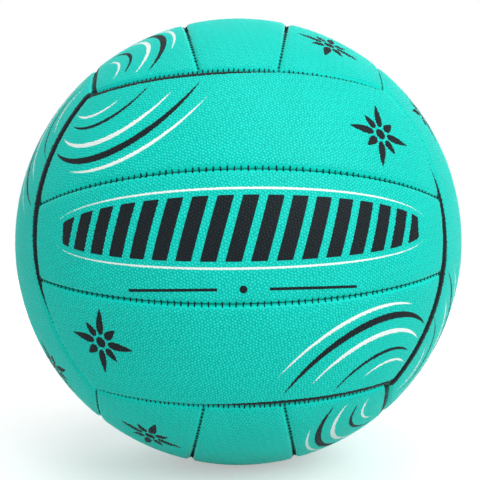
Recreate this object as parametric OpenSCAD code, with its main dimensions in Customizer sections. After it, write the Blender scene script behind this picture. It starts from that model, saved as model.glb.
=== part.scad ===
// Size 5 match netball: eighteen stitched panels over a bladder with a needle valve.
// The origin is the ball's centre. +Z is up, -Y is the front and +Y is the valve side.
// Six faces of three strips each cover the ball. The front's strips run along X,
// the top's along Y and the right side's along Z, so each face's long outer seam
// meets the strip ends of the next face.

/* [Ball] */
// Diameter of the blown-up ball over its panels
ball_d = 222.8; // [212:0.2:230]

/* [Seam pattern] */
// Angle between the middle of a face and each of its two strip seams
strip_angle = 13.4; // [11:0.1:16]
// Lean of the axis that a face's long outer seam runs round
outer_lean = 9.5; // [6:0.5:13]

/* [Cover panels] */
// Thickness of the moulded rubber skin
skin_t = 1.2; // [0.9:0.1:1.8]
// Thickness of the flange that each panel turns in along its seams
flange_t = 1.4; // [1:0.1:2]
// Gap between two panels' flanges at a seam
seam_gap = 0.1; // [0.04:0.02:0.2]
// Width of the sloped shoulder on each side of a seam
shoulder_w = 2; // [1.7:0.1:2.6]
// Depth of the shoulder where two panels meet
shoulder_depth = 1.1; // [1:0.05:1.3]

/* [Lining] */
// Thickness of the layered cloth behind the skin
lining_t = 1; // [0.6:0.1:1.6]
// Gap round a lining, and between it and the skin
lining_gap = 0.05; // [0.02:0.01:0.15]

/* [Stitching] */
// Distance from one stitch to the next on the seams within a face
strip_pitch = 2.67; // [2:0.01:4]
// Distance from one stitch to the next on the outer seams
outer_pitch = 2.1; // [1.6:0.01:4]
// Width of the thread where it crosses a seam
stitch_w = 0.6; // [0.4:0.05:0.8]
// Thickness of the thread where it crosses a seam
stitch_t = 0.4; // [0.34:0.02:0.5]
// Depth of a stitch's middle below the ball's surface
stitch_depth = 0.28; // [0.26:0.02:0.4]
// Diameter of the thread that runs along a seam between its stitches
link_d = 0.3; // [0.2:0.02:0.3]
// Gap between a stitch's ends and the shoulders
stitch_gap = 0.1; // [0.05:0.01:0.2]
// Distance from a thread's end to the seam that it stops at
thread_stop = 1.8; // [1.5:0.1:3]

/* [Bladder] */
// Thickness of the rubber bladder
bladder_t = 0.6; // [0.4:0.1:1.2]
// Gap between the bladder and the linings
bladder_gap = 0.1; // [0.05:0.05:0.3]

/* [Valve] */
// Outer diameter of the valve's stem
stem_d = 9; // [7:0.5:12]
// Length of the stem from its mouth to its inner end
stem_len = 11; // [10:0.5:16]
// Depth of the stem's mouth below the ball's surface
stem_recess = 0.3; // [0.1:0.1:0.6]
// Diameter of the flange that seals the stem to the bladder
valve_flange_d = 26; // [20:1:34]
// Thickness of that flange
valve_flange_t = 0.9; // [0.6:0.1:1.4]
// Diameter of the plug that closes the stem
plug_d = 5; // [4:0.2:6]
// Length of the plug
plug_len = 8; // [7.5:0.1:9]
// Diameter of the needle bore
needle_d = 2; // [1.6:0.1:2.4]
// Depth of the needle bore in the plug
needle_bore_len = 6; // [5:0.1:7]
// How far the stiffening patch round the stem reaches past the flange
patch_rim = 1; // [0.5:0.1:3]
// Gap round the stem, the plug and the patch
valve_gap = 0.05; // [0.02:0.01:0.15]

/* [Hidden] */
$fn = 96;
ball_r = ball_d / 2;
// How far a cut runs past the solid that it cuts
overrun = shoulder_depth;
// Depth of the flanges' inner edges, where the cover ends
cover_t = skin_t + lining_gap + lining_t;
cover_r = ball_r - cover_t;
bladder_r = cover_r - bladder_gap;
patch_d = valve_flange_d + 2 * patch_rim;
// The eight points where three faces meet lie on the diagonals of a cube
corner_share = 1 / sqrt(3);
outer_cos = corner_share * (cos(outer_lean) - sin(outer_lean));
// Angle between an outer seam and the axis that it runs round
outer_polar = acos(outer_cos);
strip_polar = 90;
// Half of an outer seam, and of a strip seam, as angles round their axes
outer_half = asin(corner_share / sin(outer_polar));
strip_tilt = atan(tan(outer_lean) / cos(strip_angle));
strip_reach = sqrt(pow(cos(outer_lean) * cos(strip_angle), 2) + pow(sin(outer_lean), 2));
strip_half = acos(outer_cos / strip_reach) - strip_tilt;

skin_colour = [0.11, 0.80, 0.74];
lining_colour = [0.86, 0.84, 0.78];
thread_colour = [0.07, 0.30, 0.29];
bladder_colour = [0.13, 0.12, 0.12];
valve_colour = [0.16, 0.16, 0.17];
plug_colour = [0.80, 0.28, 0.16];

// Each face: its name, the turns that take the front to it, and its strips' names
// from the low side to the high side of its own frame.
faces = [
    ["front", [0, 0, 0], [0, 0, 0], ["lower", "middle", "upper"]],
    ["back", [0, 0, 0], [0, 0, 180], ["lower", "middle", "upper"]],
    ["top", [0, 90, 0], [-90, 0, 0], ["left", "middle", "right"]],
    ["bottom", [0, 90, 0], [90, 0, 0], ["left", "middle", "right"]],
    ["right", [90, -90, 0], [0, 0, 0], ["back", "middle", "front"]],
    ["left", [90, -90, 0], [0, 180, 0], ["back", "middle", "front"]]
];
// A strip's or seam's side of its face: low, middle or high
sides = [-1, 0, 1];
outer_sides = [-1, 1];
// The faces that meet each face's low and high outer seams
neighbours = [
    ["bottom", "top"],
    ["bottom", "top"],
    ["left", "right"],
    ["left", "right"],
    ["back", "front"],
    ["back", "front"]
];
valve_face = 1;

function strip_name(face, side) = str(faces[face][0], "_", faces[face][3][side + 1]);
function seam_name(face, side) = str(faces[face][0], "_", neighbours[face][(side + 1) / 2]);
face_numbers = [for (i = [0:len(faces) - 1]) i];

// Turns what is drawn for the front onto a face.
module on_face(face) {
    rotate(faces[face][2]) rotate(faces[face][1]) children();
}

// Turns what is drawn for the high side onto the low side.
module on_side(side) {
    rotate([0, side < 0 ? 180 : 0, 0]) children();
}

// Stands what is drawn round Z on the axis of the seam at one end of the front's strips.
module at_end(end) {
    rotate([90, 0, -end * outer_lean]) rotate([0, 0, end * 90]) children();
}

// Stands what is drawn round Z on the axis of the front's high outer seam.
module at_outer() {
    rotate([-outer_lean, 0, 0]) children();
}

// Stands what is drawn round Z on the axis of the front's high strip seam.
module at_strip() {
    rotate([-strip_angle, 0, 0]) children();
}

module hollow_ball(outer_r, inner_r) {
    difference() {
        sphere(outer_r);
        sphere(inner_r);
    }
}

// The space inside an outer seam: a large ball whose surface crosses the netball's
// squarely along the seam. An inset draws its wall in, or out where it is negative.
module seam_ball(inset) {
    translate([0, 0, ball_r / outer_cos]) sphere(ball_r * tan(outer_polar) - inset);
}

// The half of space above the plane of a strip seam, with the plane moved up by an inset.
module above_strip(inset) {
    translate([-ball_d, -ball_d, inset]) cube([2 * ball_d, 2 * ball_d, 2 * ball_d]);
}

// The front's middle strip, or its high one, cut from a hollow ball along its four seams.
// The inset draws its walls in from the seams.
module strip_block(is_middle, outer_r, inner_r, inset) {
    difference() {
        intersection() {
            hollow_ball(outer_r, inner_r);
            at_end(1) seam_ball(inset);
            at_end(-1) seam_ball(inset);
        }
        if (is_middle) {
            for (side = outer_sides) on_side(side) at_strip() above_strip(-inset);
        } else {
            at_outer() seam_ball(-inset);
            at_strip() mirror([0, 0, 1]) above_strip(-inset);
        }
    }
}

// The large ball that slopes a panel's shoulder down to a seam. Its surface goes through
// the shoulder's top, to one way of the seam, and through the seam at the shoulder's depth.
module slope_ball(polar, way) {
    top_angle = polar + way * shoulder_w * 180 / (PI * ball_r);
    seam_r = ball_r - shoulder_depth;
    centre = (pow(ball_r, 2) - pow(seam_r, 2)) / (2 * (ball_r * cos(top_angle) - seam_r * cos(polar)));
    translate([0, 0, centre])
        sphere(norm([ball_r * sin(top_angle), ball_r * cos(top_angle) - centre]));
}

// A strip's full solid with its four sloped shoulders.
module sloped_strip(is_middle) {
    intersection() {
        strip_block(is_middle, ball_r, cover_r, seam_gap / 2);
        at_end(1) slope_ball(outer_polar, -1);
        at_end(-1) slope_ball(outer_polar, -1);
        if (is_middle) at_strip() slope_ball(strip_polar, 1);
        if (is_middle) on_side(-1) at_strip() slope_ball(strip_polar, 1);
        if (!is_middle) at_outer() slope_ball(outer_polar, 1);
        if (!is_middle) at_strip() slope_ball(strip_polar, -1);
    }
}

// A round hole through the cover on the valve's side.
module valve_hole(hole_d) {
    rotate([-90, 0, 0]) cylinder(h = ball_d, d = hole_d);
}

// One moulded panel: a skin with a flange turned in all round.
module panel(face, side) {
    color(skin_colour) difference() {
        on_face(face) on_side(side) difference() {
            sloped_strip(side == 0);
            strip_block(side == 0, ball_r - skin_t, cover_r - overrun, seam_gap / 2 + flange_t);
        }
        if (face == valve_face && side == 0) valve_hole(stem_d + 2 * valve_gap);
    }
}

// The layered cloth that stiffens a panel from behind, inside its flange.
module lining(face, side) {
    color(lining_colour) difference() {
        on_face(face) on_side(side)
            strip_block(side == 0, ball_r - skin_t - lining_gap, cover_r,
                seam_gap / 2 + flange_t + lining_gap);
        if (face == valve_face && side == 0) valve_hole(patch_d + 2 * valve_gap);
    }
}

// The thread of one seam: a stitch across the seam at each step, pulled flat against the
// shoulders, and a round link from each stitch to the next along the groove.
module thread(polar, half_angle, pitch) {
    length_angle = 360 / (2 * PI * ball_r * sin(polar));
    step = pitch * length_angle;
    stitches = floor(2 * (half_angle - thread_stop * length_angle) / step);
    stitch_foot = stitch_depth + stitch_t / 2;
    stitch_len = 2 * (shoulder_w * (1 - stitch_foot / shoulder_depth) - stitch_gap);
    link_len = pitch - stitch_w / 2;
    for (i = [0:stitches - 1])
        rotate([0, 0, (i - (stitches - 1) / 2) * step - 90]) rotate([0, polar, 0])
            translate([-stitch_len / 2, -stitch_w / 2, ball_r - stitch_foot])
                cube([stitch_len, stitch_w, stitch_t]);
    for (i = [1:stitches - 1])
        rotate([0, 0, (i - stitches / 2) * step - 90]) rotate([0, polar, 0])
            translate([0, -link_len / 2, ball_r - stitch_depth])
                rotate([-90, 0, 0]) cylinder(h = link_len, d = link_d);
}

// The threads of a face's two strip seams.
module face_stitching(face) {
    color(thread_colour) on_face(face)
        for (s = outer_sides) on_side(s) at_strip() thread(strip_polar, strip_half, strip_pitch);
}

// The thread of the seam between a face and the next one's strip ends.
module outer_stitching(face, side) {
    color(thread_colour) on_face(face) on_side(side) at_outer()
        thread(outer_polar, outer_half, outer_pitch);
}

module bladder() {
    color(bladder_colour) difference() {
        hollow_ball(bladder_r, bladder_r - bladder_t);
        valve_hole(stem_d + 2 * valve_gap);
    }
}

// The ring of stiff cloth round the stem, let into the lining.
module valve_patch() {
    color(lining_colour) difference() {
        intersection() {
            hollow_ball(ball_r - skin_t - lining_gap, cover_r);
            valve_hole(patch_d);
        }
        valve_hole(stem_d + 2 * valve_gap);
    }
}

// Stands what is drawn along Z on the stem's mouth, pointing into the ball.
module at_mouth() {
    translate([0, ball_r - stem_recess, 0]) rotate([90, 0, 0]) children();
}

// The rubber stem, with the flange that seals it to the bladder from inside.
module valve_stem() {
    flange_r = bladder_r - bladder_t - valve_gap;
    color(valve_colour) difference() {
        union() {
            at_mouth() cylinder(h = stem_len, d = stem_d);
            intersection() {
                hollow_ball(flange_r, flange_r - valve_flange_t);
                valve_hole(valve_flange_d);
            }
        }
        at_mouth() translate([0, 0, -overrun])
            cylinder(h = plug_len + valve_gap + overrun, d = plug_d + 2 * valve_gap);
        at_mouth() cylinder(h = stem_len + overrun, d = needle_d);
    }
}

// The soft plug that lets the needle in and closes behind it.
module valve_plug() {
    color(plug_colour) at_mouth() difference() {
        cylinder(h = plug_len, d = plug_d);
        translate([0, 0, -overrun]) cylinder(h = needle_bore_len + overrun, d = needle_d);
    }
}

for (f = face_numbers, s = sides)
    panel(f, s);
for (f = face_numbers, s = sides)
    lining(f, s);
for (f = face_numbers)
    face_stitching(f);
for (f = face_numbers, s = outer_sides)
    outer_stitching(f, s);
bladder();
valve_patch();
valve_stem();
valve_plug();
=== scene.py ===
import math

import bmesh
import bpy
import numpy as np
from mathutils import Matrix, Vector
from mathutils.geometry import delaunay_2d_cdt


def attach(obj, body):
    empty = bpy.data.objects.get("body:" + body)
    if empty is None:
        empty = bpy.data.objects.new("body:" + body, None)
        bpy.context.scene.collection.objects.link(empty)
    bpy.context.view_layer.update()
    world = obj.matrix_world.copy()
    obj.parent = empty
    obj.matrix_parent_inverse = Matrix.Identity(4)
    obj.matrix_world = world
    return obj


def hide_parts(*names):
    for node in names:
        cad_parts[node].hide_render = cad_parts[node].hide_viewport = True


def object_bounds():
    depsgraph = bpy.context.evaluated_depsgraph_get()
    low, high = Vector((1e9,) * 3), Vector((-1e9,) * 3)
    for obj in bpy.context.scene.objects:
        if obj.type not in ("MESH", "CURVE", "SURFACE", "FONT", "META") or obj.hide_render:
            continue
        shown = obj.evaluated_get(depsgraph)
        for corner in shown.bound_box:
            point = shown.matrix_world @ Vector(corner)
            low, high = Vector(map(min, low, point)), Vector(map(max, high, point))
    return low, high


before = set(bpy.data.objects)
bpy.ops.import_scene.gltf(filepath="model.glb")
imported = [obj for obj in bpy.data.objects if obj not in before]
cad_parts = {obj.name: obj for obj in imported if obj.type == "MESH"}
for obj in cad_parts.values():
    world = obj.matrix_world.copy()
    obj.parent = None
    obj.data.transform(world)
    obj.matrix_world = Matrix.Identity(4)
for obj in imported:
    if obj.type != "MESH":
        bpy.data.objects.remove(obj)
cad_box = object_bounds()

# The netball's sizes are in millimetres and degrees. MM turns them to the scene's metres.
MM = 0.001
BALL_R = (cad_box[1].z - cad_box[0].z) / 2 / MM
# Points nearer to each other than this, in the unit that they are in, become one
WELD = 1e-7

# The seam pattern, as the solids have it
STRIP_ANGLE = 13.4
OUTER_LEAN = 9.5
SEAM_GAP = 0.1
FLANGE_T = 1.4
SKIN_T = 1.2
COVER_T = 2.25

# The surface beside a seam: a wide soft roll, a steep slope, and a channel for each stitch
ROLL_W = 4.5
ROLL_DEPTH = 0.5
SLOPE_W = 1.35
SLOPE_DEPTH = 1.15
SLOPE_CURVE = 1.2
CHANNEL_W = 0.42
CHANNEL_LEN = 1.9
CHANNEL_DEPTH = 0.25
# The rings of mesh points along a seam: their distances from it, the steps between the points
# of the first ring and of the last, and how far past it the lattice starts, as a share of its step
RING_INSETS = (0.02, 0.18, 0.36, 0.6)
RING_STEP = 0.26
LAST_RING_STEP = 0.4
RING_CLEARANCE_SHARE = 0.6

# A flat strip's half length and half height are less than these
STRIP_REACH = BALL_R
STRIP_RISE = BALL_R / 3
# The underside: where the walls' feet and the flanges' inner edges lie from the seams
WALL_INSET = SEAM_GAP / 2
FLANGE_INSET = SEAM_GAP / 2 + FLANGE_T
# Its rows of points, from the walls' feet to the back of the skin. Each has its distance from
# the seams, its depth there, its depth at the valve's hole, and how much it is stretched on
# the texture map, so that no two rows lie on one another there
ROWS_BELOW = (
    (WALL_INSET, COVER_T, 0.75 * SKIN_T, 1.02),
    (FLANGE_INSET, COVER_T, 0.87 * SKIN_T, 1.0),
    (FLANGE_INSET, SKIN_T, SKIN_T, 0.98),
)
BACK_STEP = 3.0
BACK_CLEARANCE = BACK_STEP / 3
# The texture map: its margin, its width, the height of the underside's part, and where the
# top's part starts and how high it is
MAP_MARGIN = 0.01
MAP_W = 0.98
MAP_UNDER_H = 0.24
MAP_TOP_START = 0.28
MAP_TOP_H = 0.71

# The moulded pimples: their distance, their height, and how far they stand above the ball's surface
PIMPLE_PITCH = 1.35
PIMPLE_H = 0.52
PIMPLE_RISE = 0.18
# How much a mesh point's height and place vary at random
PIMPLE_SPREAD = 0.14
PIMPLE_SHIFT = 0.03
# The lattice bends in soft waves: each wave's length, its way, and how far it pushes
BENDS = (
    (23.0, 110, 0.5),
    (17.0, 75, 0.4),
    (11.0, 20, 0.25),
    (6.1, 140, 0.18),
    (4.3, 55, 0.16),
    (3.1, 170, 0.12),
)
# Some pimples stand higher than others: each wave's length, its way, and its share of the height
SWELLS = ((2.3, 35, 0.14), (3.7, 100, 0.08), (2.9, 155, 0.12))
# Three waves cross in the lattice, which is turned a little, and their sum runs from low to high
PIMPLE_TURN = 5.0
PIMPLE_WAYS = (0, 60, 120)
WAVES_LOW, WAVES_HIGH = -1.5, 3.0
POINTS_PER_PITCH = 3
# The lattice is laid out to this share of a strip's reach, and then cut
LATTICE_REACH_SHARE = 1.3
# Distances from an edge at which the pimples start and are full
PIMPLES_START = 0.9
PIMPLES_FULL = 1.9

# The thread: a stitch's width, thickness and half length, and how much shorter it is at the
# seam's ends, with the power at which it gets shorter
STRIP_PITCH = 2.67
OUTER_PITCH = 2.1
STITCH_W = 0.5
STITCH_T = 0.36
STITCH_HALF = 1.15
STITCH_SHORTER = 0.5
STITCH_SHORTER_CURVE = 1.5
# How high its middle line lies over the hollows, how wide it bends over the seam's edges, and
# how far and how sharply its ends go down into the panels
STITCH_LIFT = 0.1
STITCH_BEND_R = 0.25
STITCH_DIP = 0.7
STITCH_DIP_CURVE = 8
# How much stitches vary: their place along the seam, their length and width, and their lean
STITCH_JITTER = 0.12
STITCH_LEN_SHARES = (0.82, 1.15)
STITCH_W_SHARES = (0.8, 1.3)
STITCH_TILT = 0.08
STITCH_POINTS = 15
STITCH_SIDES = 8
# A step along a seam, in radians, that gives the seam's way
AHEAD = 1e-4
# How far before a seam's ends its thread stops
THREAD_STOP = 1.8
# The thread behind the seam, which links its stitches
LINK_D = 0.24
LINK_DEPTH = 1.9
LINK_SIDES = 6
LINK_POINTS_PER_STITCH = 2
# The seeds of the outer seams' random numbers lie round this one and above it
OUTER_SEED = 10

# The valve. Its lips are the rounded edges of its openings.
HOLE_R = 4.55
HOLE_ROLL_W = 0.5
HOLE_ROLL_DEPTH = 0.4
STEM_R = 4.5
STEM_LEN = 11.0
STEM_RECESS = 0.3
STEM_EDGE_R = 0.45
STEM_LIP_R = 0.3
PLUG_R = 2.5
PLUG_LEN = 8.0
PLUG_EDGE_R = 0.35
PLUG_LIP_R = 0.45
PLUG_LIP_DEPTH = 0.55
BORE_R = 1.0
BORE_LEN = 6.0
VALVE_GAP = 0.05
VALVE_FLANGE_R = 13.0
VALVE_FLANGE_T = 0.9
VALVE_FLANGE_POINTS = 8
FILLET_POINTS = 6
LATHE_SIDES = 96
BLADDER_GAP = 0.1
BLADDER_T = 0.6

# Each face: the turns that take the front to it, and its strips' names from low to high
FACES = {
    "front": ((0, 0, 0), (0, 0, 0), ("lower", "middle", "upper")),
    "back": ((0, 0, 0), (0, 0, 180), ("lower", "middle", "upper")),
    "top": ((0, 90, 0), (-90, 0, 0), ("left", "middle", "right")),
    "bottom": ((0, 90, 0), (90, 0, 0), ("left", "middle", "right")),
    "right": ((90, -90, 0), (0, 0, 0), ("back", "middle", "front")),
    "left": ((90, -90, 0), (0, 180, 0), ("back", "middle", "front")),
}
# The faces that meet each face's low and high outer seams
NEIGHBOURS = {
    "front": ("bottom", "top"),
    "back": ("bottom", "top"),
    "top": ("left", "right"),
    "bottom": ("left", "right"),
    "right": ("back", "front"),
    "left": ("back", "front"),
}


def turned(x, y=0.0, z=0.0):
    """The matrix that turns round X, then Y, then Z."""
    turn = np.eye(3)
    for angle, (a, b) in zip((x, y, z), ((1, 2), (2, 0), (0, 1))):
        c, s = math.cos(math.radians(angle)), math.sin(math.radians(angle))
        step = np.eye(3)
        step[a, a], step[a, b], step[b, a], step[b, b] = c, -s, s, c
        turn = step @ turn
    return turn


def smooth(x, low, high):
    """0 below low, 1 above high, with a smooth step between."""
    t = np.clip((x - low) / (high - low), 0, 1)
    return t * t * (3 - 2 * t)


def unit(rows):
    """The same vectors with a length of 1."""
    return rows / np.linalg.norm(rows, axis=-1, keepdims=True)


# The eight points where three faces meet lie on the diagonals of a cube
CORNER = 1 / math.sqrt(3)
LEAN = math.radians(OUTER_LEAN)
OUTER_COS = CORNER * (math.cos(LEAN) - math.sin(LEAN))
OUTER_POLAR = math.acos(OUTER_COS)
OUTER_HALF = math.asin(CORNER / math.sin(OUTER_POLAR))
STRIP_POLAR = math.pi / 2
STRIP_COS = math.cos(math.radians(STRIP_ANGLE))
STRIP_HALF = math.acos(
    OUTER_COS / math.hypot(math.cos(LEAN) * STRIP_COS, math.sin(LEAN))
) - math.atan(math.tan(LEAN) / STRIP_COS)


class Seam:
    """A circle on the ball. Its axis is Z of its stand, and its middle lies on the stand's -Y side."""

    def __init__(self, stand, polar, half, inside, pitch):
        self.stand, self.polar, self.inside, self.pitch = stand, polar, inside, pitch
        # Millimetres along the seam for each radian round its axis
        self.reach = BALL_R * math.sin(polar)
        step = pitch / self.reach
        self.stitches = int(2 * (half - THREAD_STOP / self.reach) / step)

    def axis(self):
        return self.stand[:, 2]

    def distance(self, n):
        """Millimetres from the seam to each direction, positive on the panel's side."""
        polar = np.arccos(np.clip(n @ self.axis(), -1, 1))
        return BALL_R * self.inside * (self.polar - polar)

    def angle(self, n):
        """Radians round the seam's axis, from the seam's middle."""
        local = n @ self.stand
        return np.arctan2(local[..., 0], -local[..., 1])

    def points(self, angles, inset=0.0):
        """Directions on the circle, or on the one that lies inset millimetres into the panel."""
        polar = self.polar - self.inside * inset / BALL_R
        local = np.stack(
            (
                math.sin(polar) * np.sin(angles),
                -math.sin(polar) * np.cos(angles),
                np.full_like(angles, math.cos(polar)),
            ),
            axis=-1,
        )
        return local @ self.stand.T

    def stitch_angles(self):
        """The angle at which each stitch crosses the seam."""
        return (np.arange(self.stitches) - (self.stitches - 1) / 2) * self.pitch / self.reach

    def off_stitch(self, n):
        """Millimetres along the seam from each direction to its nearest stitch."""
        count = self.angle(n) * self.reach / self.pitch + (self.stitches - 1) / 2
        nearest = np.clip(np.round(count), 0, self.stitches - 1)
        return (count - nearest) * self.pitch

    def cut(self, inset):
        """How far along the axis the plane of the inset circle lies."""
        return math.cos(self.polar - self.inside * inset / BALL_R)


def end_seam(end):
    stand = turned(90, 0, -end * OUTER_LEAN) @ turned(0, 0, end * 90)
    return Seam(stand, OUTER_POLAR, OUTER_HALF, 1, OUTER_PITCH)


def outer_seam():
    return Seam(turned(-OUTER_LEAN), OUTER_POLAR, OUTER_HALF, -1, OUTER_PITCH)


def strip_seam(inside, flip=0):
    stand = turned(0, flip, 0) @ turned(-STRIP_ANGLE)
    return Seam(stand, STRIP_POLAR, STRIP_HALF, inside, STRIP_PITCH)


class Panel:
    """A strip of the front face: its four seams in order, and the line that it is laid flat from."""

    def __init__(self, seams, printed, middle_angle=0.0, hole_r=0.0):
        self.seams, self.printed, self.hole_r = seams, printed, hole_r
        self.lay = turned(-middle_angle)

    def flat(self, n):
        """Directions laid flat, in millimetres along and across the strip."""
        local = n @ self.lay
        along = np.arctan2(local[..., 0], -local[..., 1])
        return BALL_R * np.stack((along, np.arcsin(np.clip(local[..., 2], -1, 1))), -1)

    def round(self, flat):
        """Flat places back as directions."""
        along, across = flat[..., 0] / BALL_R, flat[..., 1] / BALL_R
        local = np.stack(
            (
                np.cos(across) * np.sin(along),
                -np.cos(across) * np.cos(along),
                np.sin(across),
            ),
            -1,
        )
        return local @ self.lay.T

    def corner(self, a, b, inset):
        """Where two seams' inset circles cross, on the panel's side of the ball."""
        g = a.axis() @ b.axis()
        x = (a.cut(inset) - g * b.cut(inset)) / (1 - g * g)
        y = (b.cut(inset) - g * a.cut(inset)) / (1 - g * g)
        foot = x * a.axis() + y * b.axis()
        cross = np.cross(a.axis(), b.axis())
        cross *= math.sqrt((1 - foot @ foot) / (cross @ cross))
        return max(foot + cross, foot - cross, key=lambda n: -(n @ self.lay)[1])

    def side_angles(self, k, inset):
        """The angles at which one side starts and ends on its seam's inset circle."""
        seam = self.seams[k]
        first = self.corner(self.seams[k - 1], seam, inset)
        last = self.corner(seam, self.seams[(k + 1) % 4], inset)
        return seam.angle(first), seam.angle(last)

    def ring(self, inset, step=RING_STEP):
        """A closed ring of directions inset from all four seams, about one step apart."""
        found = []
        for k, seam in enumerate(self.seams):
            first, last = self.side_angles(k, 0)
            count = math.ceil(abs(last - first) * seam.reach / step)
            first, last = self.side_angles(k, inset)
            share = np.arange(count) / count
            found.append(seam.points(first * (1 - share) + last * share, inset))
        return np.concatenate(found)

    def hole_ring(self, r):
        """A closed ring of directions round the middle of the hole."""
        count = math.ceil(2 * math.pi * self.hole_r / RING_STEP)
        turn = np.arange(count) * 2 * math.pi / count
        return self.round(r * np.stack((np.cos(turn), np.sin(turn)), -1))

    def edges(self, inset):
        """The ring along the seams, and the hole's edge if the panel has a hole."""
        return [self.ring(inset)] + ([self.hole_ring(self.hole_r)] if self.hole_r else [])

    def edge_distance(self, n):
        """Millimetres from each direction to the nearest seam."""
        return np.min([seam.distance(n) for seam in self.seams], axis=0)

    def hole_distance(self, n):
        """Millimetres from each direction to the hole's edge, and far where there is no hole."""
        if not self.hole_r:
            return np.full(len(n), BALL_R)
        return np.hypot(*self.flat(n).T) - self.hole_r

    def any_distance(self, n):
        """Millimetres from each direction to the nearest edge of any kind."""
        return np.minimum(self.edge_distance(n), self.hole_distance(n))


def pimple(flat):
    """0 in the hollows and 1 on the pimples, which stand in a triangular lattice."""
    total = 0
    for way in PIMPLE_WAYS:
        a = math.radians(PIMPLE_TURN + way)
        wave = (flat[:, 0] * math.cos(a) + flat[:, 1] * math.sin(a)) / PIMPLE_PITCH
        total = total + np.cos(wave * 2 * math.pi / math.cos(math.pi / 6))
    return (total - WAVES_LOW) / (WAVES_HIGH - WAVES_LOW)


def ripple(flat, length, way):
    """A wave from -1 to 1 over flat places, that runs in one way."""
    a = math.radians(way)
    return np.sin((flat @ (math.cos(a), math.sin(a))) * 2 * math.pi / length)


def bent(flat):
    """Flat places pushed sideways by soft waves, so that no row of pimples runs quite straight."""
    moved = flat.copy()
    for length, way, push in BENDS:
        a = math.radians(way + 90)
        moved += push * ripple(flat, length, way)[:, None] * (math.cos(a), math.sin(a))
    return moved


def lattice(panel, start):
    """The lattice's mesh points that lie further than start from the panel's edges, laid flat.

    Each comes with the height of its pimple there, which has a random share.
    """
    step = PIMPLE_PITCH / POINTS_PER_PITCH
    a = math.radians(PIMPLE_TURN + 30)
    b = math.radians(PIMPLE_TURN + 90)
    sides = step * np.array([[math.cos(a), math.sin(a)], [math.cos(b), math.sin(b)]])
    most = int(LATTICE_REACH_SHARE * STRIP_REACH / step)
    i, j = np.meshgrid(np.arange(-most, most), np.arange(-most, most))
    flat = np.stack((i.ravel(), j.ravel()), -1) @ sides
    flat = flat[(np.abs(flat[:, 0]) < STRIP_REACH) & (np.abs(flat[:, 1]) < STRIP_RISE)]
    random = np.random.default_rng(len(flat))
    swell = 1 + PIMPLE_SPREAD * random.normal(0, 1, len(flat))
    for length, way, share in SWELLS:
        swell += share * ripple(flat, length, way)
    height = pimple(flat) * swell
    flat = bent(flat) + PIMPLE_SHIFT * random.normal(0, 1, flat.shape)
    keep = panel.any_distance(panel.round(flat)) > start
    return flat[keep], height[keep]


def groove(d):
    """Depth of the surface at a distance from a seam."""
    roll = ROLL_DEPTH * np.clip(1 - d / ROLL_W, 0, 1) ** 2
    return roll + SLOPE_DEPTH * np.clip(1 - d / SLOPE_W, 0, 1) ** SLOPE_CURVE


def seam_depth(panel, n):
    """Depth of the surface below the ball's, from the grooves and channels at its edges."""
    kept, channel, deepest = 1.0, 0.0, ROLL_DEPTH + SLOPE_DEPTH
    for seam in panel.seams:
        d = np.maximum(seam.distance(n), 0)
        kept = kept * (1 - groove(d) / deepest)
        across = np.exp(-((seam.off_stitch(n) / CHANNEL_W) ** 2))
        along = smooth(d, CHANNEL_W, 2 * CHANNEL_W) * (1 - smooth(d, CHANNEL_LEN / 2, CHANNEL_LEN))
        channel = channel + across * along
    depth = deepest * (1 - kept) + CHANNEL_DEPTH * channel
    hole = np.maximum(panel.hole_distance(n), 0)
    return depth + HOLE_ROLL_DEPTH * np.exp(-hole / HOLE_ROLL_W)


def turn_of(a, b, c):
    """Positive where a, b and c run anticlockwise, and negative where they run clockwise."""
    return (b - a)[:, 0] * (c - a)[:, 1] - (b - a)[:, 1] * (c - a)[:, 0]


def inside(points, loop):
    """Which points lie inside a loop that each line through its middle crosses only twice."""
    middle = (loop.min(0) + loop.max(0)) / 2
    way = np.arctan2(*(loop - middle).T[::-1])
    order = np.argsort(way)
    way, loop = way[order], loop[order]
    at = np.arctan2(*(points - middle).T[::-1])
    after = np.searchsorted(way, at) % len(loop)
    return turn_of(loop[after - 1], loop[after], points) > 0


def triangles(flat, loops):
    """Triangles on flat points, inside the first loop of point numbers and outside the others."""
    edges = [(int(a), int(b)) for loop in loops for a, b in zip(loop, np.roll(loop, -1))]
    _, _, faces, origins, _, _ = delaunay_2d_cdt(flat.tolist(), edges, [], 0, WELD, True)
    origin = np.array([o[0] for o in origins])
    faces = origin[np.array([f for f in faces if len(f) == 3])]
    middle = flat[faces].mean(1)
    keep = inside(middle, flat[loops[0]])
    for loop in loops[1:]:
        keep &= ~inside(middle, flat[loop])
    faces = faces[keep]
    clockwise = turn_of(*(flat[faces[:, k]] for k in range(3))) < 0
    faces[clockwise] = faces[clockwise][:, ::-1]
    return faces


def walls(upper, lower):
    """Two rows of triangles that join two rings with the same number of points."""
    u, v = np.roll(upper, -1), np.roll(lower, -1)
    return np.concatenate((np.stack((upper, lower, v), -1), np.stack((upper, v, u), -1)))


class Draft:
    """A mesh while it is built: points in millimetres, where each lies laid flat, and faces."""

    def __init__(self):
        self.points, self.places, self.faces = [], [], []

    def add(self, points, places):
        """Adds points and gives their numbers."""
        total = sum(map(len, self.points))
        self.points.append(points)
        self.places.append(places)
        return total + np.arange(len(points))

    def whole(self):
        return tuple(map(np.concatenate, (self.points, self.places, self.faces)))


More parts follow.
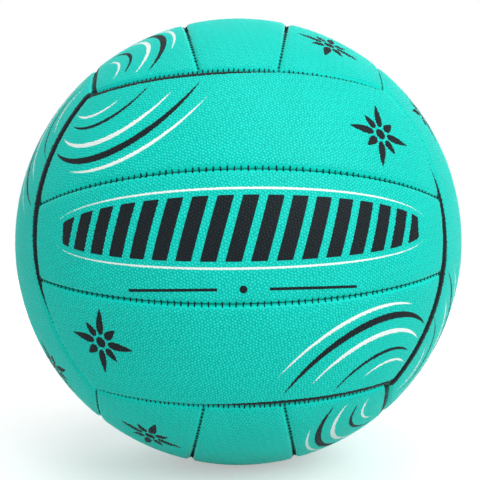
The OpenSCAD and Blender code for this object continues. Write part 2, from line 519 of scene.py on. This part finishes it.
def top_points(panel):
    """A panel's top laid flat: its points, the loops of its edges, and the pimples' height."""
    steps = np.linspace(RING_STEP, LAST_RING_STEP, len(RING_INSETS))
    rings = [panel.flat(panel.ring(inset, step)) for inset, step in zip(RING_INSETS, steps)]
    holes = []
    if panel.hole_r:
        holes = [panel.flat(panel.hole_ring(panel.hole_r + inset)) for inset in RING_INSETS]
    start = RING_INSETS[-1] + RING_CLEARANCE_SHARE * PIMPLE_PITCH / POINTS_PER_PITCH
    inner, height = lattice(panel, start)
    flat = np.concatenate([*rings, *holes, inner])
    loops = [np.arange(len(rings[0]))]
    if holes:
        loops.append(sum(map(len, rings)) + np.arange(len(holes[0])))
    height = np.concatenate((np.zeros(len(flat) - len(inner)), np.clip(height, 0, 1)))
    return flat, loops, height


def add_row(draft, panel, upper, inset, depth, hole_depth, stretch):
    """A row of points below each edge, joined to the row above. Gives the new rows' numbers."""
    lower = []
    for k, n in enumerate(panel.edges(inset)):
        radius = BALL_R - (hole_depth if k else depth)
        lower.append(draft.add(n * radius, panel.flat(n) * stretch))
        joined = walls(upper[k], lower[k])
        draft.faces.append(joined[:, ::-1] if k else joined)
    return lower


def add_back(draft, panel, loops, inset, stretch):
    """The back of the skin: a square grid of points within the last rows."""
    x, y = np.meshgrid(
        np.arange(-STRIP_REACH, STRIP_REACH, BACK_STEP),
        np.arange(-STRIP_RISE, STRIP_RISE, BACK_STEP),
    )
    grid = np.stack((x.ravel(), y.ravel()), -1)
    n = panel.round(grid)
    clear = panel.edge_distance(n) > inset + BACK_CLEARANCE
    grid = grid[clear & (panel.hole_distance(n) > BACK_CLEARANCE)]
    ends = [panel.flat(ring) for ring in panel.edges(inset)]
    flat = np.concatenate([*ends, grid])
    flat_loops = [np.arange(len(ends[0]))]
    if panel.hole_r:
        flat_loops.append(len(ends[0]) + np.arange(len(ends[1])))
    added = draft.add(panel.round(grid) * (BALL_R - SKIN_T), grid * stretch)
    number = np.concatenate([*loops, added])
    draft.faces.append(number[triangles(flat, flat_loops)][:, ::-1])


def panel_mesh(name, panel):
    """The closed mesh of a panel: printed top, flange walls and back, with the print as attributes."""
    top, loops, height = top_points(panel)
    n = panel.round(top)
    bump = height * smooth(panel.any_distance(n), PIMPLES_START, PIMPLES_FULL)
    radius = BALL_R + PIMPLE_RISE - seam_depth(panel, n) - PIMPLE_H * (1 - bump)
    draft = Draft()
    draft.add(n * radius[:, None], top)
    draft.faces.append(triangles(top, loops))
    top_count = len(draft.faces[0])
    for row in ROWS_BELOW:
        loops = add_row(draft, panel, loops, *row)
    inset, _, _, stretch = ROWS_BELOW[-1]
    add_back(draft, panel, loops, inset, stretch)
    vertices, places, faces = draft.whole()
    mesh = new_mesh(name, vertices, faces)
    n = unit(vertices)
    black, white = panel.printed(panel, n)
    full = np.zeros(len(vertices))
    full[: len(top)] = bump
    values_of = {"black": black, "white": white, "edge": panel.any_distance(n), "pimple": full}
    for key, values in values_of.items():
        layer = mesh.attributes.new(key, "FLOAT", "POINT")
        layer.data.foreach_set("value", np.clip(values, -FAR, FAR).astype(np.float32))
    lay_out(mesh, places, faces, top_count)
    return mesh


def new_mesh(name, vertices, faces):
    """A smooth mesh in metres from points in millimetres."""
    mesh = bpy.data.meshes.new(name)
    mesh.from_pydata((vertices * MM).tolist(), [], faces.tolist())
    mesh.polygons.foreach_set("use_smooth", np.ones(len(mesh.polygons), bool))
    mesh.update()
    return mesh


def lay_out(mesh, places, faces, top_count):
    """A map with the panel's top in its upper part and its walls and back in its lower part."""
    low, high = places.min(0), places.max(0)
    share = ((places - low) / (high - low))[faces.ravel()]
    uv = MAP_MARGIN + share * (MAP_W, MAP_UNDER_H)
    on_top = np.arange(len(share)) < 3 * top_count
    uv[on_top] = (MAP_MARGIN, MAP_TOP_START) + share[on_top] * (MAP_W, MAP_TOP_H)
    layer = mesh.uv_layers.new(name="OFBake")
    layer.uv.foreach_set("vector", uv.astype(np.float32).ravel())


# The print. Each mark is a field that is positive inside it, in millimetres from its edge.
# A field is never counted further from its edge than FAR. A taper and a bulge are powers that
# shape a mark's width along it, and a trim narrows it.
FAR = 9.0
# The black edging along a face's long seams, and how far from a corner, in degrees, it narrows
EDGING_W = 3.4
EDGING_TRIM = 0.15
EDGING_FULL = 26.0
EDGING_END = 64.0
# Strokes round alternate corners: start and end angle from the corner, how far it runs
# round it, where its middle lies from the face's diagonal, half its width, and its ink
STROKES = (
    (15.5, 29.0, 112, -16, 1.8, "black"),
    (12.0, 24.0, 102, -19, 1.25, "white"),
    (20.5, 32.0, 84, -9, 0.95, "white"),
    (9.0, 18.0, 98, -12, 1.05, "black"),
    (6.0, 12.5, 84, -21, 0.8, "white"),
)
STROKE_CENTRES = ((-1, -1, 1), (1, -1, -1))
# Three of each stroke stand this far apart round a corner
STROKE_TURN = 120
STROKE_TAPER = 0.7
STROKE_TRIM = 0.15
STAR_ALONG = 31.0
STAR_RAYS = 8
STAR_LONG = 15.5
STAR_SHORT = 10.5
STAR_START = 3.4
STAR_RAY_W = 1.9
STAR_BULGE = 0.6
STAR_TAPER = 0.8
STAR_TRIM = 0.1
STAR_DISC_R = 2.4
BAR_PITCH = 9.6
BAR_W = 6.2
BAR_SLANT = 16.0
BARS_HALF_LEN = 84.0
BARS_HALF_H = 12.5
BARS_MIDDLE = 3.0
LINE_GAP = 2.6
LINE_HALF_W = 0.45
LINE_TRIM = 0.05
# The lines end where the row of bars is less than half this high
LINE_END_HALF_H = 1
RULE_DROP = 20.0
RULE_HALF_W = 0.55
RULE_START = 10.0
RULE_END = 46.0
DOT_R = 1.5
VALVE_RING_GAP = 4
VALVE_RING_HALF_W = 0.6


def stroke_fields(n):
    """The black and white strokes round the two corners of the face that carry them."""
    fields = {"black": np.full(len(n), -FAR), "white": np.full(len(n), -FAR)}
    for centre in STROKE_CENTRES:
        z = np.array(centre) * CORNER
        x = np.array((0, -1.0, 0)) - z * -z[1]
        x /= np.linalg.norm(x)
        y = np.cross(z, x)
        polar = np.degrees(np.arccos(np.clip(n @ z, -1, 1)))
        turn = np.degrees(np.arctan2(n @ y, n @ x))
        for start, end, span, middle, half_w, ink in STROKES:
            off = (turn - middle + STROKE_TURN / 2) % STROKE_TURN - STROKE_TURN / 2
            share = np.clip(off / span + 0.5, 0, 1)
            line = start + (end - start) * share
            width = half_w * np.sin(math.pi * share) ** STROKE_TAPER - STROKE_TRIM
            field = width - np.radians(np.abs(polar - line)) * BALL_R
            field = np.where(share * (1 - share) > 0, field, -FAR)
            fields[ink] = np.maximum(fields[ink], field)
    return fields["black"], fields["white"]


def edging_w(n):
    """How wide the black edging is: full near the corners with strokes, and none further off."""
    near = np.max([n @ np.array(centre) * CORNER for centre in STROKE_CENTRES], axis=0)
    off = np.degrees(np.arccos(np.clip(near, -1, 1)))
    return EDGING_W * (1 - smooth(off, EDGING_FULL, EDGING_END)) - EDGING_TRIM


def star_field(flat):
    """A burst of rays round a disc, on the end of the strip that has no strokes."""
    x, y = flat[:, 0] - math.radians(STAR_ALONG) * BALL_R, flat[:, 1]
    r, turn = np.hypot(x, y), np.degrees(np.arctan2(y, x))
    step = 360 / STAR_RAYS
    ray = np.round(turn / step)
    end = np.where(ray % 2 == 0, STAR_LONG, STAR_SHORT)
    off = np.radians(turn - ray * step)
    share = np.clip((r * np.cos(off) - STAR_START) / (end - STAR_START), 0, 1)
    width = STAR_RAY_W * np.sin(math.pi * share**STAR_BULGE) ** STAR_TAPER
    rays = width - STAR_TRIM - r * np.abs(np.sin(off))
    return np.maximum(STAR_DISC_R - r, np.where(share * (1 - share) > 0, rays, -FAR))


def bars_fields(flat):
    """A lens-shaped row of slanted bars between two thin lines, over a broken rule with a dot."""
    x, y = flat[:, 0], flat[:, 1] - BARS_MIDDLE
    lens = np.sqrt(np.clip(1 - (x / BARS_HALF_LEN) ** 2, 0, 1))
    half_h = BARS_HALF_H * lens
    slant = math.radians(BAR_SLANT)
    across = x - y * math.tan(slant)
    off = np.abs(across - np.round(across / BAR_PITCH) * BAR_PITCH)
    bars = np.minimum((BAR_W / 2 - off) * math.cos(slant), half_h - np.abs(y))
    bars = np.where(np.abs(x) < BARS_HALF_LEN - BAR_PITCH / 2, bars, -FAR)
    white = LINE_HALF_W * lens - LINE_TRIM - np.abs(np.abs(y) - half_h - LINE_GAP)
    white = np.where(half_h > LINE_END_HALF_H, white, -FAR)
    drop = flat[:, 1] + RULE_DROP
    ends = np.minimum(np.abs(x) - RULE_START, RULE_END - np.abs(x))
    rule = np.minimum(RULE_HALF_W - np.abs(drop), ends)
    dot = DOT_R - np.hypot(x, drop)
    return np.maximum(bars, np.maximum(rule, dot)), white


def valve_ring(flat):
    """A printed ring round the valve."""
    return VALVE_RING_HALF_W - np.abs(np.hypot(*flat.T) - HOLE_R - VALVE_RING_GAP)


def outer_print(panel, n):
    black, white = stroke_fields(n)
    edging = edging_w(n) - panel.seams[2].distance(n)
    return np.max((black, edging, star_field(panel.flat(n))), axis=0), white


def plain_print(_panel, n):
    return stroke_fields(n)


def front_print(panel, n):
    black, white = stroke_fields(n)
    bars, lines = bars_fields(panel.flat(n))
    return np.maximum(black, bars), np.maximum(white, lines)


def back_print(panel, n):
    black, white = stroke_fields(n)
    return np.maximum(black, valve_ring(panel.flat(n))), white


def middle_panel(printed, hole_r=0.0):
    seams = (strip_seam(-1, 180), end_seam(1), strip_seam(-1), end_seam(-1))
    return Panel(seams, printed, 0.0, hole_r)


def outer_panel():
    middle_angle = (STRIP_ANGLE + OUTER_LEAN + math.degrees(math.asin(OUTER_COS))) / 2
    seams = (strip_seam(1), end_seam(1), outer_seam(), end_seam(-1))
    return Panel(seams, outer_print, middle_angle)


def matrix4(turn):
    return Matrix(turn.tolist()).to_4x4()


def face_turn(face, side=0):
    """The turn that takes the front face, or its high side, to this face and its side."""
    first, second, _ = FACES[face]
    return turned(*second) @ turned(*first) @ turned(0, 180 if side < 0 else 0)


def dress(mesh, name, node, material):
    """Shows a mesh in place of a solid, with its material."""
    mesh.materials.append(material)
    piece = bpy.data.objects.new(name, mesh)
    bpy.context.scene.collection.objects.link(piece)
    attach(piece, "root")
    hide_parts(node)


def make_panels(material):
    """Four panels of the front face, copied and turned to all eighteen places."""
    base = {
        "outer": panel_mesh("outer", outer_panel()),
        "plain": panel_mesh("plain", middle_panel(plain_print)),
        "front": panel_mesh("front", middle_panel(front_print)),
        "back": panel_mesh("back", middle_panel(back_print, HOLE_R)),
    }
    for face, (_, _, strips) in FACES.items():
        for side, strip in zip((-1, 0, 1), strips):
            kind = "outer" if side else face if face in base else "plain"
            mesh = base[kind].copy()
            mesh.transform(matrix4(face_turn(face, side)))
            dress(mesh, f"cover_{face}_{strip}", f"panel_{face}_{strip}", material)


def tube(centres, sides, ups, half_w, half_t, around):
    """Points and faces of a tube with an oval section along each row of centres."""
    rows, count = centres.shape[:2]
    turn = np.arange(around) * 2 * math.pi / around
    c, s = np.cos(turn)[:, None], np.sin(turn)[:, None]
    points = centres[:, :, None] + half_w * sides[:, :, None] * c + half_t * ups[:, :, None] * s
    number = np.arange(rows * count * around).reshape(rows, count, around)
    a, b = number[:, :-1], number[:, 1:]
    a2, b2 = np.roll(a, -1, 2), np.roll(b, -1, 2)
    faces = [np.stack((a, a2, b2), -1).reshape(-1, 3), np.stack((a, b2, b), -1).reshape(-1, 3)]
    for ring, way in ((number[:, 0], -1), (number[:, -1], 1)):
        for k in range(1, around - 1):
            faces.append(np.stack((ring[:, 0], ring[:, k], ring[:, k + 1]), -1)[:, ::way])
    return points.reshape(-1, 3), np.concatenate(faces)


def stitch_tubes(seam, random):
    """A seam's stitches, each bent down into the panels at both ends."""
    count = seam.stitches
    middle = seam.stitch_angles()
    at = middle + random.normal(0, STITCH_JITTER, count) / seam.reach
    shorter = STITCH_SHORTER * np.abs(middle / middle[-1]) ** STITCH_SHORTER_CURVE
    length = STITCH_HALF * (1 - shorter) * random.uniform(*STITCH_LEN_SHARES, count)
    width = random.uniform(*STITCH_W_SHARES, count)
    tilt = random.normal(0, STITCH_TILT, count)
    share = np.linspace(-1, 1, STITCH_POINTS)
    out = seam.points(at)
    along = unit(seam.points(at + AHEAD) - out)
    across = np.cross(along, out)
    off = share[None, :] * length[:, None]
    drop = groove(np.hypot(off, STITCH_BEND_R)) + PIMPLE_H - STITCH_LIFT
    drop = drop + STITCH_DIP * share**STITCH_DIP_CURVE
    centre = (
        out[:, None] * (BALL_R + PIMPLE_RISE - drop)[:, :, None]
        + across[:, None] * off[:, :, None]
        + along[:, None] * (tilt[:, None] * off)[:, :, None]
    )
    slope = np.gradient(-drop, axis=1) / np.gradient(off, axis=1)
    up = unit(out[:, None] - across[:, None] * slope[:, :, None])
    side = np.broadcast_to(along[:, None], up.shape) * width[:, None, None]
    return tube(centre, side, up, STITCH_W / 2, STITCH_T / 2, STITCH_SIDES)


def link_tube(seam):
    """The thread behind a seam that joins its stitches."""
    ends = seam.stitch_angles()[[0, -1]]
    n = seam.points(np.linspace(*ends, seam.stitches * LINK_POINTS_PER_STITCH))
    link = n * (BALL_R - LINK_DEPTH)
    forward = unit(np.gradient(link, axis=0))
    beside = np.cross(forward, n)
    above = np.cross(beside, forward)
    return tube(link[None], beside[None], above[None], LINK_D / 2, LINK_D / 2, LINK_SIDES)


def thread_mesh(name, seams, seed):
    """The stitches of some seams and their links."""
    random = np.random.default_rng(seed)
    points, faces, total = [], [], 0
    for seam in seams:
        for p, f in (stitch_tubes(seam, random), link_tube(seam)):
            points.append(p)
            faces.append(f + total)
            total += len(p)
    return new_mesh(name, np.concatenate(points), np.concatenate(faces))


def make_threads(material):
    """One thread for each face's two strip seams, and one for each outer seam."""
    for index, face in enumerate(FACES):
        mesh = thread_mesh(f"thread_{face}", (strip_seam(1), strip_seam(1, 180)), index)
        mesh.transform(matrix4(face_turn(face)))
        dress(mesh, f"thread_{face}", f"stitching_{face}", material)
        for side, neighbour in zip((-1, 1), NEIGHBOURS[face]):
            name = f"{face}_{neighbour}"
            seed = OUTER_SEED + 2 * index + side
            mesh = thread_mesh(f"thread_{name}", (outer_seam(),), seed)
            mesh.transform(matrix4(face_turn(face, side)))
            dress(mesh, f"thread_{name}", f"stitching_{name}", material)


def lathe(name, profile):
    """A closed solid turned round +Y from the (radius, height) points that run round its section."""
    profile = np.array(profile)
    turn = np.arange(LATHE_SIDES) * 2 * math.pi / LATHE_SIDES
    r, y = profile[:, 0][:, None], profile[:, 1][:, None]
    points = np.stack((r * np.sin(turn), y + 0 * turn, r * np.cos(turn)), -1)
    number = np.arange(len(profile) * LATHE_SIDES).reshape(-1, LATHE_SIDES)
    a, b = number, np.roll(number, -1, 0)
    a2, b2 = np.roll(a, -1, 1), np.roll(b, -1, 1)
    faces = np.concatenate((np.stack((a, b2, a2), -1), np.stack((a, b, b2), -1))).reshape(-1, 3)
    mesh = new_mesh(name, points.reshape(-1, 3), faces)
    # The rings on the axis shrink to one point each, and no edge joins them
    welded = bmesh.new()
    welded.from_mesh(mesh)
    bmesh.ops.remove_doubles(welded, verts=welded.verts, dist=WELD)
    loose = [edge for edge in welded.edges if edge.is_wire]
    bmesh.ops.delete(welded, geom=loose, context="EDGES")
    welded.to_mesh(mesh)
    welded.free()
    return mesh


def rounded(r, y, radius, start, end):
    """Points of a fillet about (r, y) from one angle to another."""
    turn = np.radians(np.linspace(start, end, FILLET_POINTS))
    return [(r + radius * math.cos(t), y + radius * math.sin(t)) for t in turn]


def make_valve(stem_material, plug_material):
    """The stem with its flange on the bladder, and the plug with its needle bore."""
    mouth = BALL_R - STEM_RECESS
    seat = PLUG_R + VALVE_GAP
    floor = mouth - PLUG_LEN - VALVE_GAP
    dome = BALL_R - COVER_T - BLADDER_GAP - BLADDER_T - VALVE_GAP
    rim = np.linspace(STEM_R, VALVE_FLANGE_R, VALVE_FLANGE_POINTS)
    upper = [(r, math.sqrt(dome**2 - r**2)) for r in rim]
    lower = [(r, math.sqrt((dome - VALVE_FLANGE_T) ** 2 - r**2)) for r in rim[::-1]]
    stem = [(BORE_R, mouth - STEM_LEN), (BORE_R, floor), (seat, floor)]
    stem += rounded(seat + STEM_LIP_R, mouth - STEM_LIP_R, STEM_LIP_R, 180, 90)
    stem += rounded(STEM_R - STEM_EDGE_R, mouth - STEM_EDGE_R, STEM_EDGE_R, 90, 0)
    stem += upper + lower + [(STEM_R, mouth - STEM_LEN)]
    dress(lathe("valve_stem", stem), "valve_mouth", "valve_stem", stem_material)
    lip = mouth - PLUG_LIP_DEPTH
    plug = [(0.0, mouth - BORE_LEN), (BORE_R, mouth - BORE_LEN), (BORE_R, lip)]
    plug += rounded(BORE_R + PLUG_LIP_R, lip, PLUG_LIP_R, 180, 90)
    plug += rounded(PLUG_R - PLUG_EDGE_R, mouth - PLUG_EDGE_R, PLUG_EDGE_R, 90, 0)
    plug += [(PLUG_R, mouth - PLUG_LEN), (0.0, mouth - PLUG_LEN)]
    dress(lathe("valve_plug", plug), "needle_plug", "valve_plug", plug_material)


# The sockets of a mix node that take its share and its two colours
MIX_SOCKETS = (0, 6, 7)
NOISE_DETAIL = 2.0


class Nodes:
    """A short way to write a material's nodes."""

    def __init__(self, name):
        self.material = bpy.data.materials.new(name)
        self.material.use_nodes = True
        self.tree = self.material.node_tree
        self.shader = self.tree.nodes["Principled BSDF"]

    def fill(self, socket, value):
        """Gives a socket a value, or a link where the value is another node's output."""
        if isinstance(value, bpy.types.NodeSocket):
            self.tree.links.new(value, socket)
        else:
            socket.default_value = value

    def add(self, kind, inputs=None, **settings):
        node = self.tree.nodes.new(kind)
        for key, value in settings.items():
            setattr(node, key, value)
        for key, value in (inputs or {}).items():
            self.fill(node.inputs[key], value)
        return node

    def attribute(self, name):
        return self.add("ShaderNodeAttribute", attribute_name=name).outputs["Fac"]

    def math(self, operation, *values):
        return self.add("ShaderNodeMath", dict(enumerate(values)), operation=operation).outputs[0]

    def step(self, value, low, high):
        inputs = {"Value": value, "From Min": low, "From Max": high}
        node = self.add("ShaderNodeMapRange", inputs, interpolation_type="SMOOTHSTEP")
        return node.outputs["Result"]

    def mix(self, share, a, b):
        node = self.add("ShaderNodeMix", data_type="RGBA")
        for socket, value in zip(MIX_SOCKETS, (share, a, b)):
            self.fill(node.inputs[socket], value)
        return node.outputs[2]

    def place(self):
        return self.add("ShaderNodeNewGeometry").outputs["Position"]

    def noise(self, scale):
        """Soft noise over the places in the scene, with scale in waves a metre."""
        inputs = {"Vector": self.place(), "Scale": scale, "Detail": NOISE_DETAIL}
        return self.add("ShaderNodeTexNoise", inputs).outputs["Fac"]

    def colour(self, value):
        self.fill(self.shader.inputs["Base Color"], value)

    def set(self, **values):
        for key, value in values.items():
            self.shader.inputs[key.replace("_", " ")].default_value = value


def linear(r, g, b):
    """An sRGB colour from 0 to 255 as the linear one that shaders take."""
    return (*(((c / 255 + 0.055) / 1.055) ** 2.4 for c in (r, g, b)), 1.0)


WHITE = (1, 1, 1, 1)
TURQUOISE = linear(0, 219, 203)
TURQUOISE_DEEP = linear(0, 215, 199)
# A painted highlight, paler and a little whiter, on the pimples' tops
PIMPLE_TOP_HIGHLIGHT = linear(62, 224, 210)
# A painted shade in the hollows between the pimples
HOLLOW_SHADE = linear(0, 112, 102)
# A painted shade in the grooves along the seams
SEAM_SHADE = linear(8, 168, 154)
BLACK_INK = linear(18, 27, 31)
# Black ink on the pimples' tops, lighter from wear and from a painted highlight
BLACK_INK_WORN_HIGHLIT = linear(42, 51, 55)
WHITE_INK = linear(236, 246, 242)
# Materials of two close colours
THREAD = (linear(8, 40, 40), linear(4, 26, 27))
CLOTH = (linear(205, 200, 186), linear(226, 221, 208))
BLADDER = (linear(36, 35, 35), linear(44, 42, 42))
VALVE = (linear(30, 31, 33), linear(38, 39, 41))
PLUG = (linear(196, 66, 44), linear(180, 56, 38))

# Sizes of the materials' noise, in waves a metre
PATCH_SCALE = 60.0
RAG_SCALE = 900.0
FIBRE_SCALE = 2500.0
WEAVE_SCALE = 320.0
BLADDER_SCALE = 40.0
VALVE_SCALE = 300.0
# Where the cover's colours, its painted shade and its painted highlights go over into one another, on
# noise or on the pimples' height
PATCH_RANGE = (0.3, 0.7)
HOLLOW_SHADE_RANGE = (0.5, 0.0)
PIMPLE_TOP_HIGHLIGHT_RANGE = (0.35, 0.9)
INK_WEAR_HIGHLIGHT_RANGE = (0.35, 0.95)
# The same in millimetres from an edge
HOLLOW_SHADE_FROM_EDGE = (1.2, 1.8)
SEAM_SHADE_FROM_EDGE = (1.0, 0.0)
INK_RANGE = (-0.08, 0.08)
# How strongly the painted shade darkens the hollows and the seams' grooves
HOLLOW_SHADE_SHARE = 0.48
SEAM_SHADE_SHARE = 0.55
# How far noise and the pimples push the edges of the print, in millimetres
RAG = 0.2
PIMPLE_RAG = 0.1


def cover_material():
    """Turquoise rubber, with a painted highlight that makes it paler on its pimples, painted shade
    that makes it darker between them and in the seams' grooves, and the print over it.
    """
    m = Nodes("cover")
    patches = m.noise(PATCH_SCALE)
    rag = m.math("MULTIPLY_ADD", m.noise(RAG_SCALE), RAG, -RAG / 2)
    pimples = m.attribute("pimple")
    ragged = m.math("ADD", rag, m.math("MULTIPLY", pimples, PIMPLE_RAG))
    colour = m.mix(m.step(patches, *PATCH_RANGE), TURQUOISE_DEEP, TURQUOISE)
    edge = m.attribute("edge")
    # Painted shade in the hollows between the pimples, held back near the edges
    hollow_shade = m.math("MULTIPLY", m.step(pimples, *HOLLOW_SHADE_RANGE), m.step(edge, *HOLLOW_SHADE_FROM_EDGE))
    colour = m.mix(m.math("MULTIPLY", hollow_shade, HOLLOW_SHADE_SHARE), colour, HOLLOW_SHADE)
    # Painted highlight: the pimples' tops turn paler
    colour = m.mix(m.step(pimples, *PIMPLE_TOP_HIGHLIGHT_RANGE), colour, PIMPLE_TOP_HIGHLIGHT)
    white = m.step(m.math("ADD", m.attribute("white"), ragged), *INK_RANGE)
    colour = m.mix(white, colour, WHITE_INK)
    # The black ink turns lighter on the pimples' tops, partly wear and partly a painted highlight
    ink = m.mix(m.step(pimples, *INK_WEAR_HIGHLIGHT_RANGE), BLACK_INK, BLACK_INK_WORN_HIGHLIT)
    black = m.step(m.math("ADD", m.attribute("black"), ragged), *INK_RANGE)
    colour = m.mix(black, colour, ink)
    # Painted shade that darkens the surface down into the seams' grooves
    seam_shade_share = m.math("MULTIPLY", m.step(edge, *SEAM_SHADE_FROM_EDGE), SEAM_SHADE_SHARE)
    m.colour(m.mix(seam_shade_share, colour, SEAM_SHADE))
    m.set(Roughness=0.45, Specular_IOR_Level=0.1, Sheen_Weight=0.2, Sheen_Roughness=0.3)
    return m.material


def plain_material(name, colours, scale, **settings):
    """A material of two close colours in soft patches."""
    m = Nodes(name)
    m.colour(m.mix(m.noise(scale), *colours))
    m.set(**settings)
    return m.material


def weave_material():
    """Rubberised cloth: two crossed waves of threads."""
    m = Nodes("lining")
    inputs = {"Vector": m.place(), "Scale": WEAVE_SCALE}
    x, z = (m.add("ShaderNodeTexWave", inputs, bands_direction=way) for way in ("X", "Z"))
    m.colour(m.mix(m.math("MULTIPLY", x.outputs["Fac"], z.outputs["Fac"]), *CLOTH))
    m.set(Roughness=0.85)
    return m.material


def dress_solids():
    """Gives the solids that stay, which lie inside the cover, their materials."""
    weave = weave_material()
    bladder = plain_material("bladder", BLADDER, BLADDER_SCALE, Roughness=0.5)
    for name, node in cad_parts.items():
        if name.startswith(("lining", "valve_patch")):
            material = weave
        elif name == "bladder":
            material = bladder
        else:
            continue
        node.data.materials.clear()
        node.data.materials.append(material)


# The camera, as fitted to the photograph: its distance in ball radii, how the ball is
# turned before it, and where the ball's middle falls in the picture of PICTURE pixels
CAMERA_REACH = 3.43
BALL_TURN = (-1.07, -0.95, 0.83)
PICTURE = 480
BALL_AT = (238.35, 241.7)
LENS = 54.9
SENSOR = 36.0


def make_camera():
    """The photograph's camera. The ball stays upright, so the camera goes round it instead."""
    x, y, z = BALL_TURN
    back = (turned(x) @ turned(0, y) @ turned(0, 0, z)).T
    data = bpy.data.cameras.new("camera")
    data.lens, data.sensor_width = LENS, SENSOR
    data.shift_x = (PICTURE / 2 - BALL_AT[0]) / PICTURE
    data.shift_y = (BALL_AT[1] - PICTURE / 2) / PICTURE
    camera = bpy.data.objects.new("camera", data)
    # A camera looks along its own -Z with Y up
    looks = back @ np.array([[1, 0, 0], [0, 0, -1], [0, 1, 0]], float)
    place = back @ np.array((0, -CAMERA_REACH * BALL_R * MM, 0))
    camera.matrix_world = Matrix.Translation(place.tolist()) @ matrix4(looks)
    bpy.context.scene.collection.objects.link(camera)
    bpy.context.scene.camera = camera


# Square soft lamps that face the ball: where each stands, its side in metres, and its watts
LAMPS = {
    "key": ((0.66, -0.92, 0.62), 0.9, 10.0),
    "top": ((0.0, -0.5, 1.2), 0.8, 4.5),
    "fill": ((-0.8, -1.1, 0.1), 0.8, 1.8),
    "back": ((0.3, 1.2, 0.5), 0.9, 7.0),
}
# How strongly the white world lights the ball, and how strongly it shows behind it
WORLD_LIGHT = 0.4
WORLD_SHOWN = 1.0
# The floor: its half side in metres, its two greys, and its glow near the ball and far off
FLOOR_REACH = 4.0
FLOOR_SCALE = 8.0
FLOOR_GREYS = ((0.8, 0.8, 0.8, 1), (0.82, 0.82, 0.82, 1))
FLOOR_GLOW = 0.42
FLOOR_GLOW_MORE = 0.6
FLOOR_GLOW_RANGE = (0.3, 1.2)


def seen_rays(tree):
    """1 for the rays that show the background, in the picture, in a gloss or through glass."""
    path = tree.nodes.new("ShaderNodeLightPath")
    seen = path.outputs["Is Camera Ray"]
    for ray in ("Is Glossy Ray", "Is Transmission Ray"):
        either = tree.nodes.new("ShaderNodeMath")
        either.operation = "MAXIMUM"
        tree.links.new(seen, either.inputs[0])
        tree.links.new(path.outputs[ray], either.inputs[1])
        seen = either.outputs[0]
    return seen


def lamp(name, place, size, watts):
    """A square soft lamp that faces the ball."""
    data = bpy.data.lights.new(name, "AREA")
    data.size, data.energy = size, watts
    light = bpy.data.objects.new(name, data)
    place = Matrix.Translation(place)
    aim = place.to_translation().to_track_quat("Z", "Y").to_matrix().to_4x4()
    light.matrix_world = place @ aim
    bpy.context.scene.collection.objects.link(light)


def make_light():
    """The lamps, and a white world that lights the ball less than it shows."""
    for name, (place, size, watts) in LAMPS.items():
        lamp(name, place, size, watts)
    world = bpy.data.worlds.new("studio")
    world.use_nodes = True
    bpy.context.scene.world = world
    tree = world.node_tree
    background = tree.nodes["Background"]
    background.inputs["Color"].default_value = WHITE
    strength = tree.nodes.new("ShaderNodeMapRange")
    strength.inputs["To Min"].default_value = WORLD_LIGHT
    strength.inputs["To Max"].default_value = WORLD_SHOWN
    tree.links.new(seen_rays(tree), strength.inputs["Value"])
    tree.links.new(strength.outputs["Result"], background.inputs["Strength"])


def make_floor():
    """A pale floor that glows a little for the camera, so that it meets the white behind it."""
    mesh = bpy.data.meshes.new("floor")
    corners = ((-1, -1), (1, -1), (1, 1), (-1, 1))
    points = [(x * FLOOR_REACH, y * FLOOR_REACH, cad_box[0].z) for x, y in corners]
    mesh.from_pydata(points, [], [(0, 1, 2, 3)])
    m = Nodes("floor")
    m.colour(m.mix(m.noise(FLOOR_SCALE), *FLOOR_GREYS))
    m.set(Roughness=1.0, Specular_IOR_Level=0.0, Emission_Color=WHITE)
    away = m.add("ShaderNodeVectorMath", {0: m.place()}, operation="LENGTH").outputs["Value"]
    further = m.step(away, *FLOOR_GLOW_RANGE)
    glow = m.math("MULTIPLY_ADD", further, FLOOR_GLOW_MORE, FLOOR_GLOW)
    glow = m.math("MULTIPLY", seen_rays(m.tree), glow)
    m.fill(m.shader.inputs["Emission Strength"], glow)
    mesh.materials.append(m.material)
    floor = bpy.data.objects.new("floor", mesh)
    bpy.context.scene.collection.objects.link(floor)


make_camera()
make_panels(cover_material())
make_threads(plain_material("thread", THREAD, FIBRE_SCALE, Roughness=0.6, Specular_IOR_Level=0.1))
make_valve(
    plain_material("valve", VALVE, VALVE_SCALE, Roughness=0.5),
    plain_material("plug", PLUG, VALVE_SCALE, Roughness=0.45),
)
dress_solids()
make_light()
make_floor()
bpy.context.scene.view_settings.view_transform = "Standard"
